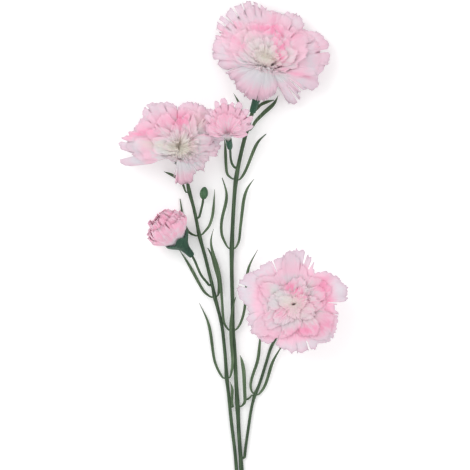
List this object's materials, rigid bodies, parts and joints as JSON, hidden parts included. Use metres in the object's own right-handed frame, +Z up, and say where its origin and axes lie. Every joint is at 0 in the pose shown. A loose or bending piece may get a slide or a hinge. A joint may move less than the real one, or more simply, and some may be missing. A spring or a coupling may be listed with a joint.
{
  "type": "bunch of carnations",
  "caption": "Branched spray of pink and white carnations lying flat: layered frilled blooms, a bud and grassy paired leaves on slender green stems that join into one cut stem",
  "frame": {"origin": "under the middle of the whole spray, on the surface that it lies on", "axes": "+X across the spray, +Y along the stems from the cut end to the top bloom, +Z up from the surface it lies on"},
  "size_m": [0.1686, 0.4008, 0.0611],
  "materials": {
    "petals": "thin crinkled dyed fabric, white and cream at the gathers, pink ring, pale lavender edge",
    "leaf": "satin moulded grey-green",
    "stem": "satin moulded dark olive green with lighter streaks",
    "calyx": "satin moulded dark bluish green",
    "bud": "glossy mid green"
  },
  "bodies": {
    "root": {"closed_bud": "bud", "closed_bud_stalk": "stem", "half_open_bud_calyx": "calyx", "half_open_bud_petals_1": "petals", "half_open_bud_petals_2": "petals", "half_open_bud_stalk": "stem", "left_bloom_calyx": "calyx", "left_bloom_petals_1": "petals", "left_bloom_petals_2": "petals", "left_bloom_petals_3": "petals", "left_bloom_petals_4": "petals", "left_leaf_1_left": "leaf", "left_leaf_1_right": "leaf", "left_leaf_2_left": "leaf", "left_leaf_2_right": "leaf", "left_leaf_3_left": "leaf", "left_leaf_3_right": "leaf", "left_leaf_4": "leaf", "left_stem": "stem", "main_leaf_1_left": "leaf", "main_leaf_1_right": "leaf", "main_leaf_2_left": "leaf", "main_leaf_2_right": "leaf", "main_leaf_3_left": "leaf", "main_leaf_3_right": "leaf", "main_leaf_4_left": "leaf", "main_leaf_4_right": "leaf", "main_leaf_5_left": "leaf", "main_leaf_5_right": "leaf", "main_stem": "stem", "right_bloom_calyx": "calyx", "right_bloom_petals_1": "petals", "right_bloom_petals_2": "petals", "right_bloom_petals_3": "petals", "right_bloom_petals_4": "petals", "right_leaf_curl": "leaf", "right_leaf_left": "leaf", "right_leaf_right": "leaf", "right_stem": "stem", "small_flower_calyx": "calyx", "small_flower_petals_1": "petals", "small_flower_petals_2": "petals", "small_flower_stalk": "stem", "top_bloom_bract": "leaf", "top_bloom_calyx": "calyx", "top_bloom_petals_1": "petals", "top_bloom_petals_2": "petals", "top_bloom_petals_3": "petals", "top_bloom_petals_4": "petals"}
  },
  "joints": []
}
